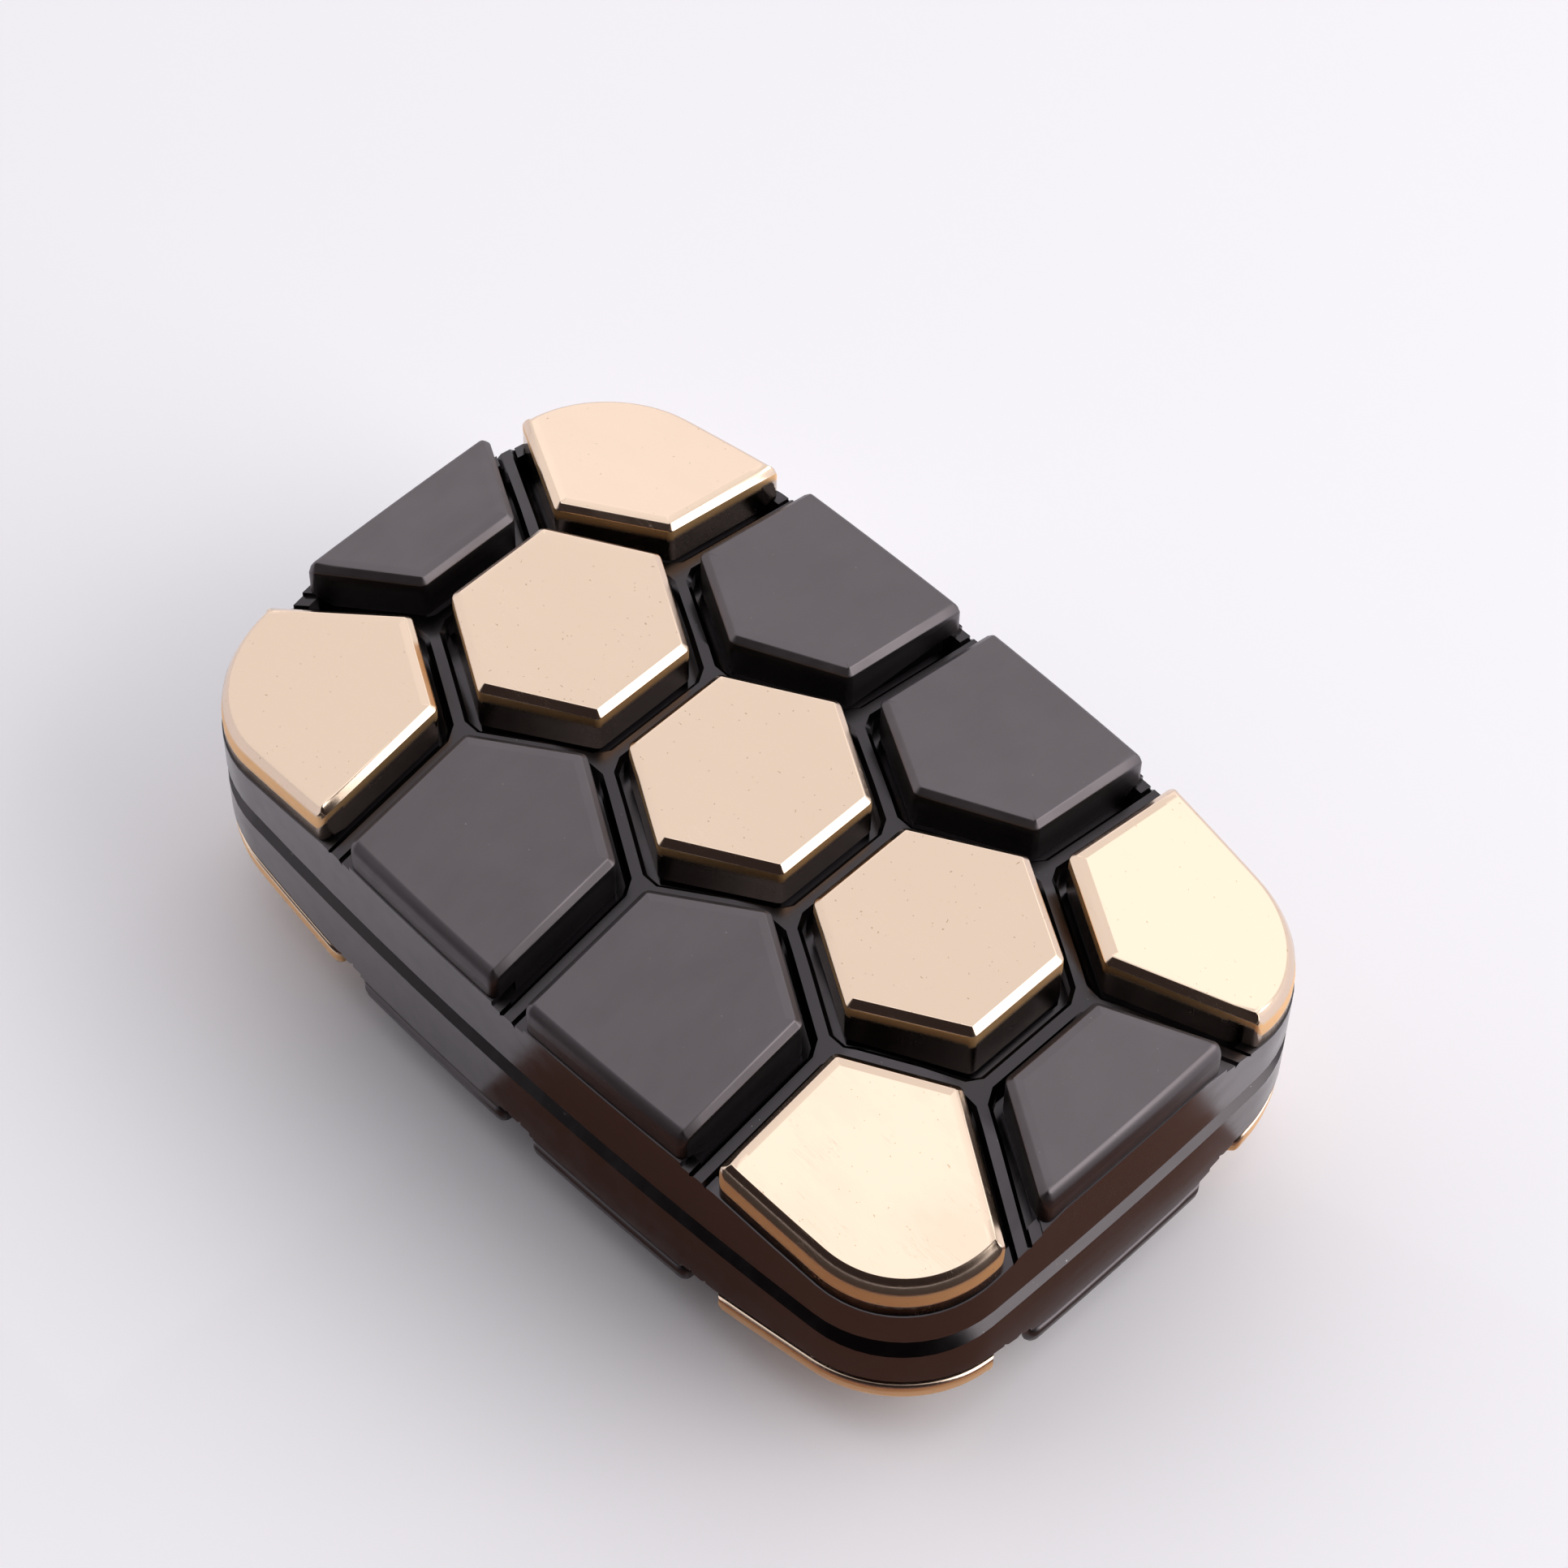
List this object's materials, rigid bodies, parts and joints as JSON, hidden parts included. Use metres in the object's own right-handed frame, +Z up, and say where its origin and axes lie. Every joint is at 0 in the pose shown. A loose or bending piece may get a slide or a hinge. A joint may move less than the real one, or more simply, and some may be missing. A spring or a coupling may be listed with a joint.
{
  "type": "magnetic push slider",
  "caption": "Pocket magnetic push slider: two domed black halves with honeycomb tiles in brass and black, held face to face by magnets.",
  "frame": {"origin": "centre of the underside of the closed slider, on the three flat middle tiles of the lower half", "axes": "+X along the length and the slide, +Y across the width, +Z up through the thickness"},
  "size_m": [0.0556, 0.0346, 0.02],
  "materials": {
    "brass": "satin",
    "black_tile": "satin",
    "black_body": "satin",
    "steel": "satin",
    "nickel": "gloss"
  },
  "bodies": {
    "lower_half": {"lower_base": "black_body", "lower_frame": "black_body", "lower_hex_1": "brass", "lower_hex_2": "brass", "lower_hex_3": "brass", "lower_side_1": "black_tile", "lower_side_2": "black_tile", "lower_side_3": "black_tile", "lower_side_4": "black_tile", "lower_corner_1": "brass", "lower_corner_2": "brass", "lower_corner_3": "brass", "lower_corner_4": "brass", "lower_end_1": "black_tile", "lower_end_2": "black_tile", "lower_magnet_1": "nickel", "lower_magnet_2": "nickel", "lower_magnet_3": "nickel", "lower_magnet_4": "nickel", "lower_magnet_5": "nickel", "lower_magnet_6": "nickel", "lower_magnet_7": "nickel", "lower_magnet_8": "nickel", "lower_screw_1": "steel", "lower_screw_2": "steel", "lower_screw_3": "steel", "lower_screw_4": "steel", "guide_key": "steel"},
    "upper_half": {"upper_base": "black_body", "upper_frame": "black_body", "upper_hex_1": "brass", "upper_hex_2": "brass", "upper_hex_3": "brass", "upper_side_1": "black_tile", "upper_side_2": "black_tile", "upper_side_3": "black_tile", "upper_side_4": "black_tile", "upper_corner_1": "brass", "upper_corner_2": "brass", "upper_corner_3": "brass", "upper_corner_4": "brass", "upper_end_1": "black_tile", "upper_end_2": "black_tile", "upper_magnet_1": "nickel", "upper_magnet_2": "nickel", "upper_magnet_3": "nickel", "upper_magnet_4": "nickel", "upper_magnet_5": "nickel", "upper_magnet_6": "nickel", "upper_magnet_7": "nickel", "upper_magnet_8": "nickel", "upper_screw_1": "steel", "upper_screw_2": "steel", "upper_screw_3": "steel", "upper_screw_4": "steel"}
  },
  "joints": [
    {"name": "push_slide", "type": "slide", "parent": "lower_half", "child": "upper_half", "axis": [1, 0, 0], "range_m": [-0.022, 0.022]}
  ]
}
